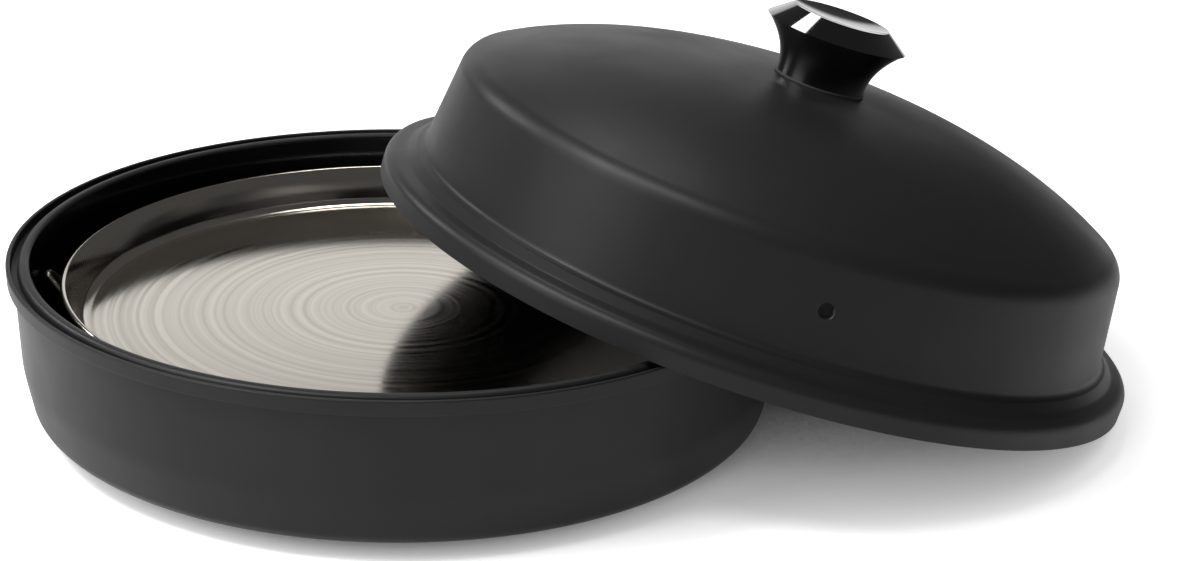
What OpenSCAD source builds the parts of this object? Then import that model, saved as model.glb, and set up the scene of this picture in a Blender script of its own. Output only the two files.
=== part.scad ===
// Stovetop pizza maker: a deep round pan with a rim channel, a wire rack that stands
// in it, a shallow steel pizza tray on the rack, and a domed lid with a spool knob.
// The lid leans on the pan's lip with its far edge on the table.

/* [Pan] */
// Outside diameter of the pan at its lip
pan_d = 320; // [290:1:350]
// Height of the pan from the table to its lip
pan_h = 68.2; // [62:0.1:78]
// Thickness of the pan's floor
floor_t = 5; // [3.5:0.5:7]
// How much smaller the wall's radius is above the foot's bevel than under the collar
foot_taper = 6.4; // [2:0.1:8]
// Width of the bevel between the underside and the wall
bevel_w = 17.3; // [12:0.1:22]
// Height of the bevel between the underside and the wall
bevel_h = 8.3; // [5:0.1:12]
// Rounding between the underside and the bevel
foot_round = 20; // [10:1:24]
// Rounding between the bevel and the wall
bevel_round = 4; // [2:0.5:8]
// Height of the collar band round the rim
collar_h = 6.5; // [4:0.5:10]
// How far the lip stands out past the collar's lower edge
collar_taper = 1.2; // [0.4:0.1:2]
// Step from the collar's lower edge in to the wall
collar_step = 1.4; // [0.6:0.1:2]
// Width of the lip outside the rim channel
lip_w = 1.9; // [1.4:0.1:2.5]
// Width of the rim channel
channel_w = 2.9; // [2:0.1:4]
// Depth of the rim channel
channel_depth = 4; // [2:0.5:6]
// Width of the rounded seat ridge inside the rim channel
ridge_w = 4.8; // [4:0.1:6]
// How much smaller the inside radius is at the floor than at the ridge
inner_taper = 3; // [1:0.5:5]
// Rounding between the inside wall and the floor
inner_round = 14; // [8:1:16]

/* [Base disc] */
// Diameter of the steel heat-spreading disc under the pan
disc_d = 222; // [180:1:250]
// Thickness of the steel disc
disc_t = 1.2; // [0.6:0.1:2]

/* [Rack] */
// Wire diameter of the rack
wire_d = 3; // [2:0.1:4]
// Height of the rack's top, where the tray rests, above the pan floor
rack_h = 34.7; // [30:0.1:38]
// Diameter of the rack's large rings, to the middle of the wire
ring_d = 210; // [180:1:225]
// Diameter of the rack's small top ring, to the middle of the wire
inner_ring_d = 90; // [60:1:110]
// Number of arms and of posts
arm_count = 4; // [4:1:4]
// Turn of the first arm about the pan's axis
arm_turn = 75.8; // [60:0.1:90]
// Half the distance between an arm's two wires under the tray
arm_half_w = 7; // [5:0.5:10]
// Half the distance between the two wires at an arm's tip
tip_half_w = 1.9; // [1.6:0.1:3]
// Height of an arm's tip above its level run
tip_rise = 12.2; // [8:0.1:16]
// How deep the weld sinks one wire into another
weld_sink = 0.06; // [0.03:0.01:0.1]

/* [Tray] */
// Gap between the tray's rolled rim and the seat ridge round it
tray_gap = 11.4; // [8:0.1:20]
// Depth of the tray from its rim to its underside
tray_depth = 17.2; // [12:0.1:24]
// Sheet thickness of the tray
tray_t = 0.8; // [0.6:0.1:1.5]
// How much smaller the tray's radius is at its floor than at its rim
tray_taper = 6; // [3:0.5:10]
// Rounding between the tray's wall and floor
tray_round = 6; // [4:0.5:8]
// Diameter of the rolled rim bead
bead_d = 2.6; // [2:0.1:3.6]

/* [Lid] */
// Wall thickness of the lid
lid_t = 3; // [2:0.1:3.6]
// Gap between the pan's lip and the inside of the lid's edge band
lid_fit = 2; // [1:0.1:3]
// Height of the edge band round the lid's flange
band_h = 9.8; // [8:0.1:11]
// Width of the flat flange inside the edge band
ledge_w = 8; // [7:0.1:10]
// How much the flange rises towards the step
ledge_rise = 1.7; // [0.5:0.1:3]
// Width of the raised step inside the flange
step_w = 3.7; // [3:0.1:5]
// Height of the raised step
step_rise = 3.1; // [2:0.1:4]
// Width of the shoulder between the step and the wall
cove_w = 2.6; // [2:0.1:4]
// Rise of the shoulder between the step and the wall
cove_rise = 0.8; // [0.4:0.1:2]
// How much the wall leans in from its foot to the dome
wall_lean_in = 5.8; // [3:0.1:8]
// Height of the wall
wall_h = 41.8; // [36:0.1:48]
// Rounding between the wall and the dome
shoulder_round = 11; // [8:1:16]
// Rise of the dome from the wall's top to the crown
dome_rise = 31.6; // [26:0.1:36]
// Part of the dome's rise that falls off late, near the wall
dome_fullness = 0.34; // [0:0.01:0.5]
// Radius of the steam vent
vent_r = 3; // [2:0.1:4]
// Height of the steam vent on the wall
vent_h = 35.1; // [30:0.1:42]
// Direction of the steam vent round the lid
vent_turn = -100.9; // [-180:0.1:180]

/* [Lid at rest] */
// Angle at which the lid leans on the pan
lean = 16.3; // [14.5:0.1:19]
// Gap kept between the pan's lip and the leaning lid
rest_gap = 0.3; // [0.2:0.1:0.6]

/* [Knob] */
// Radius of the knob at its foot
knob_foot_r = 19; // [16:0.5:22]
// Radius of the knob at its sharp ridge
knob_ridge_r = 30.1; // [26:0.1:34]
// Radius of the knob's dished top
knob_top_r = 20.7; // [16:0.1:23]
// Height of the ridge above the knob's foot
knob_ridge_h = 21.4; // [16:0.1:26]
// Power of the neck's flare from the foot to the ridge
knob_flare = 2.2; // [1.6:0.1:3]
// Height of the bevel between the ridge and the top
knob_bevel_h = 7; // [5:0.1:9]
// Depth of the dish in the top
knob_dish = 2.4; // [1:0.1:3.5]
// Thickness of the gasket under the knob
gasket_t = 1.1; // [0.5:0.1:1.5]
// How far the gasket shows past the knob's foot
gasket_lip = 0.5; // [0.2:0.1:1]

/* [Knob fixing] */
// Radius of the screw's shank
screw_r = 3; // [2.5:0.1:3.5]
// Gap round the screw in the lid, the gasket and the washers
screw_gap = 0.3; // [0.2:0.05:0.5]
// Gap round the screw in the threaded insert
thread_gap = 0.05; // [0.02:0.01:0.1]
// Radius of the screw's head
head_r = 5.6; // [5:0.1:7]
// Height of the screw's head
head_h = 3.4; // [2.5:0.1:4.5]
// Radius of the threaded insert in the knob
insert_r = 5; // [4.5:0.1:6]
// Length of the threaded insert
insert_h = 12; // [9:0.5:15]
// Outside radius of the flat washer inside the lid
washer_r = 9; // [7.5:0.1:12]
// Thickness of the flat washer
washer_t = 1.2; // [0.8:0.1:1.8]
// Width of the spring washer's section
spring_w = 1.8; // [1.4:0.1:2.2]
// Thickness of the spring washer
spring_t = 1.5; // [1:0.1:2]
// Gap in the spring washer
spring_cut = 1.2; // [0.8:0.1:2]

/* [Clearances] */
// Gap kept between loose pieces that rest on each other
seat_gap = 0.3; // [0.2:0.1:0.5]
// Gap between an arm's tip and the pan's wall
tip_gap = 0.8; // [0.4:0.1:1.5]

/* [Hidden] */
$fn = 96;

// Colours
charcoal = [0.29, 0.29, 0.30];
steel = [0.78, 0.77, 0.75];
wire_grey = [0.55, 0.55, 0.55];
gloss_black = [0.03, 0.03, 0.03];
brass = [0.80, 0.62, 0.30];
seal_grey = [0.35, 0.35, 0.35];

// Pan
pan_r = pan_d / 2;
collar_z = pan_h - collar_h;
collar_r = pan_r - collar_taper;
body_r = collar_r - collar_step;
foot_r = body_r - foot_taper;
lip_in_r = pan_r - lip_w;
ridge_out_r = lip_in_r - channel_w;
pan_in_r = ridge_out_r - ridge_w;
floor_in_r = pan_in_r - inner_taper;
lip_round = 0.35 * lip_w;
ridge_round = 0.45 * ridge_w;
channel_round = 0.2 * channel_w;

// Rack, heights of wire middles above the table
wire_r = wire_d / 2;
bend_swell = 0.06;
rack_foot_z = floor_t + seat_gap + wire_r;
rack_top = floor_t + rack_h;
arm_z = rack_top - wire_r;
ring_z = arm_z - wire_d + weld_sink;
tip_z = arm_z + tip_rise;
wall_at_tip_r = floor_in_r + inner_taper * (tip_z - floor_t) / (pan_h - floor_t);
tip_r = wall_at_tip_r - tip_gap - wire_r;
bend_r = tip_r - tip_rise;
ring_r = ring_d / 2;
inner_ring_r = inner_ring_d / 2;

// Tray
tray_z = rack_top + seat_gap;
tray_rim_r = pan_in_r - tray_gap - bead_d / 2;
tray_rim_z = tray_z + tray_depth - bead_d / 2;
tray_floor_r = tray_rim_r - tray_taper;

// Lid, in its own frame: table-side edge at height 0, axis upright
flange_r = pan_r + lid_fit + lid_t;
band_in_r = flange_r - lid_t;
band_round = 3.2;
ledge_r = flange_r - ledge_w;
ledge_z = band_h + ledge_rise;
step_r = ledge_r - step_w;
step_z = ledge_z + step_rise;
wall_foot_r = step_r - cove_w;
wall_foot_z = step_z + cove_rise;
wall_top_r = wall_foot_r - wall_lean_in;
wall_top_z = wall_foot_z + wall_h;
crown_z = wall_top_z + dome_rise;
pad_r = knob_foot_r + gasket_lip + 0.6;
function dome_z(r) =
    let (q = pow(r / wall_top_r, 2))
    crown_z - dome_rise * ((1 - dome_fullness) * q + dome_fullness * q * q);
pad_z = dome_z(pad_r);
dome_steps = 12;
dome_start_r = wall_top_r - 1.1 * shoulder_round;

// Lid at rest: its edge touches the table, and its band lies on the pan's lip
rest_z = pan_h + rest_gap;
rest_reach = flange_r * cos(lean) - rest_z / tan(lean);
lid_z = flange_r * sin(lean);
lid_x = sqrt(pow(pan_r, 2) + pow(rest_reach / cos(lean), 2) - pow(band_in_r, 2)) - rest_reach;

// Knob, heights in the lid's frame
knob_z = pad_z + gasket_t;
washer_z = pad_z - lid_t - washer_t;
spring_z = washer_z - spring_t;
hole_r = screw_r + screw_gap;

// Geometry of rounded profiles
function unit(v) = v / norm(v);
function side(v) = [-v[1], v[0]];
function turn_to(a, b) = (atan2(b[1], b[0]) - atan2(a[1], a[0]) + 540) % 360 - 180;

// Points of the corner b between a and c, rounded with radius r
function corner(a, b, c, r, n = 6) =
    r <= 0 ? [b] :
    let (
        u = unit(a - b), w = unit(c - b),
        half = acos(u * w) / 2,
        mid = b + unit(u + w) * r / sin(half),
        from = b + u * r / tan(half) - mid,
        to = b + w * r / tan(half) - mid,
        start = atan2(from[1], from[0]), turn = turn_to(from, to)
    )
    [for (i = [0:n]) mid + r * [cos(start + turn * i / n), sin(start + turn * i / n)]];

// A line through the points p whose corners are rounded with the radii r
function rounded(p, r) = [
    for (i = [0:len(p) - 1])
        each (i == 0 || i == len(p) - 1) ? [p[i]] : corner(p[i - 1], p[i], p[i + 1], r[i])
];

// The same line moved sideways by t, with corners kept parallel
function moved_corner(a, b, c, t) =
    let (u = side(unit(b - a)), w = side(unit(c - b)), m = unit(u + w)) b + m * t / (m * u);
function moved(p, t) = [
    for (i = [0:len(p) - 1])
        i == 0 ? p[0] + side(unit(p[1] - p[0])) * t :
        i == len(p) - 1 ? p[i] + side(unit(p[i] - p[i - 1])) * t :
        moved_corner(p[i - 1], p[i], p[i + 1], t)
];
function moved_radii(p, r, t) = [
    for (i = [0:len(p) - 1])
        r[i] <= 0 ? 0 :
        max(0.3, r[i] - t * sign(turn_to(p[i] - p[i - 1], p[i + 1] - p[i])))
];
function reversed(p) = [for (i = [len(p) - 1:-1:0]) p[i]];

// Moves a piece of the lid from the lid's frame to where the lid leans
module on_lid() {
    translate([lid_x, 0, lid_z]) rotate([0, lean, 0]) children();
}

// A straight piece of wire from a to b
module wire(a, b) {
    v = b - a;
    translate(a) rotate([0, acos(v[2] / norm(v)), atan2(v[1], v[0])])
        cylinder(r = wire_r, h = norm(v), $fn = 24);
}

// A tight bend of the wire at p, a little swollen as a pressed bend is
module bend(p) {
    translate(p) sphere(r = wire_r + bend_swell, $fn = 24);
}

// A ring of wire of radius r with its middle at height z
module wire_ring(r, z) {
    translate([0, 0, z]) rotate_extrude() translate([r, 0]) circle(r = wire_r, $fn = 24);
}

// A flat ring
module flat_ring(outer, inner, z, h) {
    translate([0, 0, z]) difference() {
        cylinder(r = outer, h = h);
        translate([0, 0, -1]) cylinder(r = inner, h = h + 2);
    }
}

// Deep round pan: bevelled foot, collar band, lip, rim channel and seat ridge
module base_pan() {
    corners = [
        [0, disc_t], [disc_d / 2, disc_t], [disc_d / 2, 0], [foot_r - bevel_w, 0],
        [foot_r, bevel_h], [body_r, collar_z], [collar_r, collar_z],
        [pan_r, pan_h], [lip_in_r, pan_h],
        [lip_in_r, pan_h - channel_depth], [ridge_out_r, pan_h - channel_depth],
        [ridge_out_r, pan_h], [pan_in_r, pan_h], [floor_in_r, floor_t], [0, floor_t]
    ];
    radii = [
        0, 0, 0, foot_round, bevel_round, 0, 0, lip_round, lip_round,
        channel_round, channel_round, ridge_round, ridge_round, inner_round, 0
    ];
    color(charcoal) rotate_extrude() polygon(rounded(corners, radii));
}

// Steel disc let in flush under the pan
module base_disc() {
    color(steel) cylinder(d = disc_d, h = disc_t);
}

module rack_top_ring() {
    color(wire_grey) wire_ring(ring_r, ring_z);
}

module rack_inner_ring() {
    color(wire_grey) wire_ring(inner_ring_r, ring_z);
}

module rack_foot_ring() {
    color(wire_grey) wire_ring(ring_r, rack_foot_z);
}

// Hairpin arm number k: two level wires under the tray that rise to a tip at the pan's wall
module rack_arm(k) {
    color(wire_grey) rotate([0, 0, arm_turn + 360 / arm_count * k]) {
        for (s = [-1, 1]) {
            knee = [bend_r, s * arm_half_w, arm_z];
            tip = [tip_r, s * tip_half_w, tip_z];
            wire([inner_ring_r, s * arm_half_w, arm_z], knee);
            bend(knee);
            wire(knee, tip);
            bend(tip);
        }
        wire([tip_r, -tip_half_w, tip_z], [tip_r, tip_half_w, tip_z]);
    }
}

module rack_arm_1() { rack_arm(0); }
module rack_arm_2() { rack_arm(1); }
module rack_arm_3() { rack_arm(2); }
module rack_arm_4() { rack_arm(3); }

// Upright post number k between the two large rings
module rack_post(k) {
    low = rack_foot_z + wire_r - weld_sink;
    high = ring_z - wire_r + weld_sink;
    color(wire_grey) rotate([0, 0, arm_turn + 360 / arm_count * (k + 0.5)])
        translate([ring_r, 0, low]) cylinder(r = wire_r, h = high - low, $fn = 24);
}

module rack_post_1() { rack_post(0); }
module rack_post_2() { rack_post(1); }
module rack_post_3() { rack_post(2); }
module rack_post_4() { rack_post(3); }

// Shallow tray of thin steel sheet with a rolled rim
module pizza_tray() {
    line = [[0, tray_z], [tray_floor_r, tray_z], [tray_rim_r, tray_rim_z]];
    radii = [0, tray_round, 0];
    under = rounded(line, radii);
    over = rounded(moved(line, tray_t), moved_radii(line, radii, tray_t));
    color(steel) rotate_extrude() {
        polygon(concat(under, reversed(over)));
        translate([tray_rim_r, tray_rim_z]) circle(d = bead_d, $fn = 32);
    }
}

// Domed lid: edge band, flange, raised step, wall, rounded shoulder and dome
module lid_shell() {
    dome = [
        for (i = [0:dome_steps])
            let (r = dome_start_r + (pad_r - dome_start_r) * i / dome_steps) [r, dome_z(r)]
    ];
    line = concat([
        [flange_r, 0], [flange_r, band_h], [ledge_r, ledge_z], [step_r, step_z],
        [wall_foot_r, wall_foot_z], [wall_top_r, wall_top_z]
    ], dome, [[0, pad_z]]);
    radii = concat([0, band_round, 3.5, 1.5, 3, shoulder_round], [for (p = dome) 0], [0]);
    under = rounded(moved(line, lid_t), moved_radii(line, radii, lid_t));
    color(charcoal) on_lid() difference() {
        rotate_extrude() polygon(concat(rounded(line, radii), reversed(under)));
        translate([0, 0, pad_z - 2 * lid_t]) cylinder(r = hole_r, h = 3 * lid_t);
        rotate([0, 0, vent_turn]) translate([wall_foot_r, 0, vent_h])
            rotate([0, 90 - atan2(wall_lean_in, wall_h), 0])
                cylinder(r = vent_r, h = 8 * lid_t, center = true, $fn = 48);
    }
}

// Thin gasket between the knob and the lid
module knob_gasket() {
    color(seal_grey) on_lid() flat_ring(knob_foot_r + gasket_lip, hole_r, pad_z, gasket_t);
}

// Spool knob: flared neck, sharp ridge, bevel and dished top, with a socket for the insert
module knob_body() {
    flare = knob_ridge_r - knob_foot_r;
    neck = [
        for (i = [0:10]) [knob_foot_r + flare * pow(i / 10, knob_flare), knob_ridge_h * i / 10]
    ];
    top_z = knob_ridge_h + knob_bevel_h;
    dish_r = (pow(knob_top_r, 2) + pow(knob_dish, 2)) / (2 * knob_dish);
    dish = [
        for (i = [0:8])
            let (r = knob_top_r * (1 - i / 8))
                [r, top_z - knob_dish + dish_r - sqrt(pow(dish_r, 2) - pow(r, 2))]
    ];
    color(gloss_black) on_lid() translate([0, 0, knob_z]) difference() {
        rotate_extrude() polygon(concat([[0, 0]], neck, dish));
        translate([0, 0, -1]) cylinder(r = insert_r, h = insert_h + 1);
    }
}

// Threaded brass insert in the knob
module knob_insert() {
    color(brass) on_lid() flat_ring(insert_r, screw_r + thread_gap, knob_z, insert_h);
}

// Screw from inside the lid into the insert, with a slotted pan head
module knob_screw() {
    color(steel) on_lid() translate([0, 0, spring_z]) {
        cylinder(r = screw_r, h = knob_z + 0.8 * insert_h - spring_z);
        translate([0, 0, -head_h]) difference() {
            cylinder(r = head_r, h = head_h);
            translate([-head_r - 1, -0.6, -1]) cube([2 * head_r + 2, 1.2, 1 + head_h / 3]);
        }
    }
}

// Flat washer against the lid's inside
module knob_washer() {
    color(steel) on_lid() flat_ring(washer_r, hole_r, washer_z, washer_t);
}

// Split spring washer between the screw's head and the flat washer
module knob_spring_washer() {
    color(steel) on_lid() difference() {
        flat_ring(hole_r + spring_w, hole_r, spring_z, spring_t);
        translate([0, -spring_cut / 2, spring_z - 1])
            cube([hole_r + spring_w + 1, spring_cut, spring_t + 2]);
    }
}

base_pan();
base_disc();
rack_top_ring();
rack_inner_ring();
rack_foot_ring();
rack_arm_1();
rack_arm_2();
rack_arm_3();
rack_arm_4();
rack_post_1();
rack_post_2();
rack_post_3();
rack_post_4();
pizza_tray();
lid_shell();
knob_gasket();
knob_body();
knob_insert();
knob_screw();
knob_washer();
knob_spring_washer();
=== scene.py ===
"""Stovetop pizza maker, dressed: deep round pan, wire rack, steel tray and leaning domed lid.

Every surface is worked out with numpy as a profile turned about an axis or carried along a
path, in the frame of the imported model, in metres.
"""

import logging
import math
from dataclasses import dataclass, field
from enum import Enum
from typing import ClassVar

import bmesh
import bpy
import numpy as np
from mathutils import Matrix, Vector


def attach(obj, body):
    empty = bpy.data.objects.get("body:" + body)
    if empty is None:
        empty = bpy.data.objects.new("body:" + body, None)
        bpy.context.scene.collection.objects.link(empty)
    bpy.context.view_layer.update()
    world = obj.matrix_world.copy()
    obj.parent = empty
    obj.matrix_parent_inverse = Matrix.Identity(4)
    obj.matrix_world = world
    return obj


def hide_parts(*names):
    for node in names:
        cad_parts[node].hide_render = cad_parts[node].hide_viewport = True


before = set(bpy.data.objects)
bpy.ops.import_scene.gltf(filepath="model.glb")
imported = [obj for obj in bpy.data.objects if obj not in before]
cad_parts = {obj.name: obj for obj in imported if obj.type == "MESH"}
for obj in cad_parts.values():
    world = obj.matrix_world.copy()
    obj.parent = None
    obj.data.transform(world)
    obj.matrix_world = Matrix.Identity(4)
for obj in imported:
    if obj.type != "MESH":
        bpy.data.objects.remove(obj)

Array = np.ndarray
Pair = tuple[float, float]
Triple = tuple[float, float, float]
Tree = bpy.types.NodeTree
Node = bpy.types.Node
Socket = bpy.types.NodeSocket

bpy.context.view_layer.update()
MM = 0.001
WELD_M = 1e-6  # vertices closer than this are one
SMALLEST_ROUND = 0.3  # in millimetres, on a line that was moved sideways
FULL_TURN = 2 * math.pi
log = logging.getLogger("pizza_maker")


# ---- colours and nodes


def linear(code: str) -> tuple[float, ...]:
    """Turns an sRGB hex colour into linear red, green, blue and alpha.

    Args:
        code: a colour such as "#3a3a3c".

    Returns:
        The colour in linear light: c / 12.92 below 0.04045, else ((c + 0.055) / 1.055) ^ 2.4.
    """
    c = np.array([int(code[i : i + 2], 16) for i in (1, 3, 5)]) / 255
    lit = np.where(c <= 0.04045, c / 12.92, ((c + 0.055) / 1.055) ** 2.4)
    return (*map(float, lit), 1.0)


def add_node(tree: Tree, kind: str, settings: dict | None = None, **links: Socket) -> Node:
    """Adds a node to a tree.

    Args:
        tree: the node tree.
        kind: the node's type name.
        settings: attributes by name, and socket values by "in:" and the socket's name or number.
        **links: for each input, by its name with _ for a space or i and its number, the output
            socket that feeds it.

    Returns:
        The new node.
    """
    node = tree.nodes.new(kind)
    for key, value in (settings or {}).items():
        if key.startswith("in:"):
            socket = key[3:]
            node.inputs[int(socket) if socket.isdigit() else socket].default_value = value
        else:
            setattr(node, key, value)
    for name, output in links.items():
        numbered = name[0] == "i" and name[1:].isdigit()
        tree.links.new(output, node.inputs[int(name[1:]) if numbered else name.replace("_", " ")])
    return node


def blank_tree(data: bpy.types.Material | bpy.types.World) -> Tree:
    """Turns on a material's or a world's nodes and returns its tree, emptied.

    Args:
        data: the material or the world.

    Returns:
        Its node tree, with no nodes.
    """
    data.use_nodes = True
    data.node_tree.nodes.clear()
    return data.node_tree


def worked_out(tree: Tree, operation: str, *terms: Socket) -> Socket:
    """The result of a Math node's operation on two or three sockets, in order."""
    links = {f"i{number}": term for number, term in enumerate(terms)}
    return add_node(tree, "ShaderNodeMath", {"operation": operation}, **links).outputs[0]


def ramp(
    tree: Tree, value: Socket, start: Pair, end: Pair = (0.0, 1.0), smooth: bool = False
) -> Socket:
    """Carries a value from one range to another and holds it at the ends.

    Args:
        tree: the node tree.
        value: the value's socket.
        start: the range that it comes from.
        end: the range that it goes to.
        smooth: whether it eases in and out of its ends, as q * q * (3 - 2 q).

    Returns:
        The result's socket.
    """
    settings = {
        "interpolation_type": "SMOOTHSTEP" if smooth else "LINEAR",
        "in:From Min": start[0],
        "in:From Max": start[1],
        "in:To Min": end[0],
        "in:To Max": end[1],
    }
    return add_node(tree, "ShaderNodeMapRange", settings, Value=value).outputs["Result"]


def two_tone(tree: Tree, share: Socket, first: str, second: str) -> Socket:
    """Mixes two sRGB hex colours by a share from 0 to 1."""
    settings = {"data_type": "RGBA", "in:6": linear(first), "in:7": linear(second)}
    return add_node(tree, "ShaderNodeMix", settings, i0=share).outputs[2]


def object_place(tree: Tree) -> Socket:
    """Where a point lies on its object, in metres."""
    return add_node(tree, "ShaderNodeTexCoord").outputs["Object"]


def mirror_rays(tree: Tree, path: Node) -> Socket:
    """1 for a ray that comes off a mirror or through glass, by the Light Path node."""
    rays = (path.outputs["Is Glossy Ray"], path.outputs["Is Transmission Ray"])
    return worked_out(tree, "MAXIMUM", *rays)


# ---- finishes


@dataclass(frozen=True)
class Grain:
    """A bump pattern of one real size.

    Attributes:
        size_mm: distance between neighbouring grains.
        height_mm: height of the relief.
        detail: octaves of finer noise on top.
    """

    size_mm: float
    height_mm: float
    detail: float = 1.0


class Lay(Enum):
    """How a surface's marks run."""

    EVEN = "even in all directions, as on a sprayed or moulded surface"
    TURNED = "in rings about the pan's axis, as on a spun or brushed disc"
    DRAWN = "in short lengths, as on drawn wire"


@dataclass(frozen=True)
class Finish:
    """What one surface is made of and how it was finished.

    Attributes:
        colour: sRGB hex colour, which varies towards shade.
        roughness: lowest and highest roughness over the surface.
        patch_mm: size of the patches in which colour and roughness vary.
        grain: the relief of the surface.
        lay: how its marks run.
        metallic: 1 for bare metal, whose ior is left alone.
        coat: weight of a clear glossy skin, as on moulded phenolic.
        sheen: weight of a powdery coating's soft grey scatter at grazing angles.
        PATCH_SPREAD: the part of the noise over which the roughness runs from low to high.
    """

    DRAWN_STRETCH: ClassVar[Triple] = (0.25, 0.25, 1)
    PATCH_DETAIL: ClassVar[float] = 3
    PATCH_SPREAD: ClassVar[Pair] = (0.3, 0.7)

    name: str
    colour: str
    shade: str
    roughness: Pair
    patch_mm: float
    grain: Grain
    lay: Lay = Lay.EVEN
    metallic: float = 0.0
    ior: float | None = None
    coat: float = 0.0
    coat_roughness: float = 0.03
    sheen: float = 0.0

    def marks(self, tree: Tree, size_mm: float, detail: float) -> Socket:
        """Noise from 0 to 1 that follows the finish's lay.

        Args:
            tree: the material's tree.
            size_mm: distance between neighbouring marks.
            detail: octaves of finer noise.

        Returns:
            The socket that carries the noise.
        """
        place = object_place(tree)
        settings = {"in:Scale": 1 / (size_mm * MM), "in:Detail": detail}
        if self.lay is Lay.TURNED:
            level = {"operation": "MULTIPLY", "in:1": (1, 1, 0)}
            flat = add_node(tree, "ShaderNodeVectorMath", level, i0=place)
            length = {"operation": "LENGTH"}
            radius = add_node(tree, "ShaderNodeVectorMath", length, i0=flat.outputs["Vector"])
            settings["noise_dimensions"] = "1D"
            noise = add_node(tree, "ShaderNodeTexNoise", settings, W=radius.outputs["Value"])
        elif self.lay is Lay.DRAWN:
            stretch = {"in:Scale": self.DRAWN_STRETCH}
            long = add_node(tree, "ShaderNodeMapping", stretch, Vector=place)
            noise = add_node(tree, "ShaderNodeTexNoise", settings, Vector=long.outputs["Vector"])
        else:
            noise = add_node(tree, "ShaderNodeTexNoise", settings, Vector=place)
        return noise.outputs["Fac"]

    def material(self) -> bpy.types.Material:
        """The material, with colour and roughness in patches and a fine relief.

        Returns:
            The material, made the first time and found by its name after that.
        """
        known = bpy.data.materials.get(self.name)
        if known is not None:
            return known
        made = bpy.data.materials.new(self.name)
        tree = blank_tree(made)
        patch = self.marks(tree, self.patch_mm, self.PATCH_DETAIL)
        depth = {"in:Strength": 1.0, "in:Distance": self.grain.height_mm * MM}
        height = self.marks(tree, self.grain.size_mm, self.grain.detail)
        relief = add_node(tree, "ShaderNodeBump", depth, Height=height)
        settings = {
            "in:Metallic": self.metallic,
            "in:Coat Weight": self.coat,
            "in:Coat Roughness": self.coat_roughness,
            "in:Sheen Weight": self.sheen,
        }
        if self.ior is not None:
            settings["in:IOR"] = self.ior
        skin = add_node(
            tree, "ShaderNodeBsdfPrincipled", settings,
            Base_Color=two_tone(tree, patch, self.colour, self.shade),
            Roughness=ramp(tree, patch, self.PATCH_SPREAD, self.roughness),
            Normal=relief.outputs["Normal"],
        )
        add_node(tree, "ShaderNodeOutputMaterial", Surface=skin.outputs["BSDF"])
        made.diffuse_color = linear(self.colour)
        return made


# Sprayed fluoropolymer non-stick on cast aluminium: even satin black-grey with a fine orange
# peel that breaks highlights into a soft glow. Its low IOR of about 1.3 keeps it dark.
MATTE_COATING = Finish(
    "sprayed_non_stick_coating", "#242425", "#202021", roughness=(0.38, 0.46), patch_mm=35,
    grain=Grain(0.9, 0.012, 2), ior=1.31,
)
# The same casting inside, with a smooth fired coat: black and clearly glossy.
GLOSS_COATING = Finish(
    "smooth_inner_coating", "#0c0c0d", "#101011", roughness=(0.1, 0.18), patch_mm=40,
    grain=Grain(4, 0.01), ior=1.5,
)
# Spun stainless sheet, polished: mirror-like, slightly wavy, with faint rings from the lathe.
TRAY_STEEL = Finish(
    "polished_stainless_sheet", "#d2ccc3", "#c4bdb2", roughness=(0.1, 0.17), patch_mm=3,
    grain=Grain(1.2, 0.0015), lay=Lay.TURNED, metallic=1.0,
)
# Drawn steel wire, lightly heat-stained: soft grey with short streaks.
WIRE_STEEL = Finish(
    "drawn_steel_wire", "#a9a49b", "#86827b", roughness=(0.22, 0.34), patch_mm=6,
    grain=Grain(0.5, 0.01, 2), lay=Lay.DRAWN, metallic=1.0,
)
# Brushed steel heat disc: rings of fine scratches.
DISC_STEEL = Finish(
    "brushed_steel_disc", "#b9b8b6", "#a3a2a0", roughness=(0.26, 0.4), patch_mm=1.2,
    grain=Grain(0.5, 0.008, 3), lay=Lay.TURNED, metallic=1.0,
)
# Compression-moulded phenolic, polished: deep gloss black.
KNOB_PHENOLIC = Finish(
    "polished_black_phenolic", "#030303", "#040404", roughness=(0.05, 0.07), patch_mm=20,
    grain=Grain(12, 0.003), ior=1.6, coat=1.0,
)
# Silicone gasket: soft dark grey with a dry bloom.
SEAL_SILICONE = Finish(
    "dark_silicone", "#2e2e30", "#28282a", roughness=(0.55, 0.65), patch_mm=10,
    grain=Grain(0.6, 0.01, 2), ior=1.41, sheen=0.1,
)
INSERT_BRASS = Finish(
    "turned_brass", "#c9a75c", "#b8954b", roughness=(0.25, 0.35), patch_mm=3,
    grain=Grain(0.4, 0.008), metallic=1.0,
)
FIXING_ZINC = Finish(
    "zinc_plated_steel", "#c2c3c4", "#b2b3b6", roughness=(0.28, 0.38), patch_mm=4,
    grain=Grain(0.6, 0.006), metallic=1.0,
)
COATINGS = [MATTE_COATING, GLOSS_COATING]


# ---- surfaces


def unit(v: Array) -> Array:
    """The vector, or each row, at length 1."""
    return v / np.linalg.norm(v, axis=-1, keepdims=True)


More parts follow.
